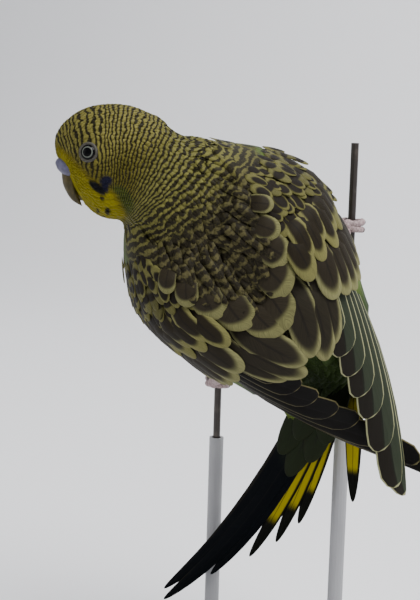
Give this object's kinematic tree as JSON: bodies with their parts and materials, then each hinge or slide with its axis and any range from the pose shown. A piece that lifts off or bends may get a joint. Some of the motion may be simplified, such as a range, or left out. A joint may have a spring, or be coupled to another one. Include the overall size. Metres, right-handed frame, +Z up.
{
  "type": "budgerigar model",
  "caption": "Still, life-size model of a green budgerigar seen from the back, clinging to two upright wires above a flat display stand.",
  "frame": {"origin": "middle of the underside of the stand's base", "axes": "+Z up, +Y towards the side on which the bird holds its wires, +X to the right as seen from behind the bird"},
  "size_m": [0.104, 0.088, 0.1576],
  "materials": {
    "plumage_body": "soft feathers, yellow-green with fine black bars",
    "plumage_wing": "brown-black feathers with pale yellow edges",
    "plumage_tail": "blue-black feathers, outer ones banded yellow",
    "cere": "smooth waxy lavender skin",
    "bill": "satin horn, olive grey",
    "eye": "wet black pupil in a pale iris",
    "leg_skin": "scaled pinkish grey skin, grey claws",
    "wire": "dark satin coating on wire",
    "stand_paint": "matt grey powder coat"
  },
  "bodies": {
    "root": {"torso": "plumage_body", "neck": "plumage_body", "head": "plumage_body", "wing_left": "plumage_wing", "wing_right": "plumage_wing", "tail": "plumage_tail", "cere": "cere", "bill_upper": "bill", "bill_lower": "bill", "eye_left": "eye", "eye_right": "eye", "leg_left": "leg_skin", "leg_right": "leg_skin", "foot_left": "leg_skin", "foot_right": "leg_skin", "perch_wire_left": "wire", "perch_wire_right": "wire", "stand_rod_left": "stand_paint", "stand_rod_right": "stand_paint", "stand_base": "stand_paint"}
  },
  "joints": []
}
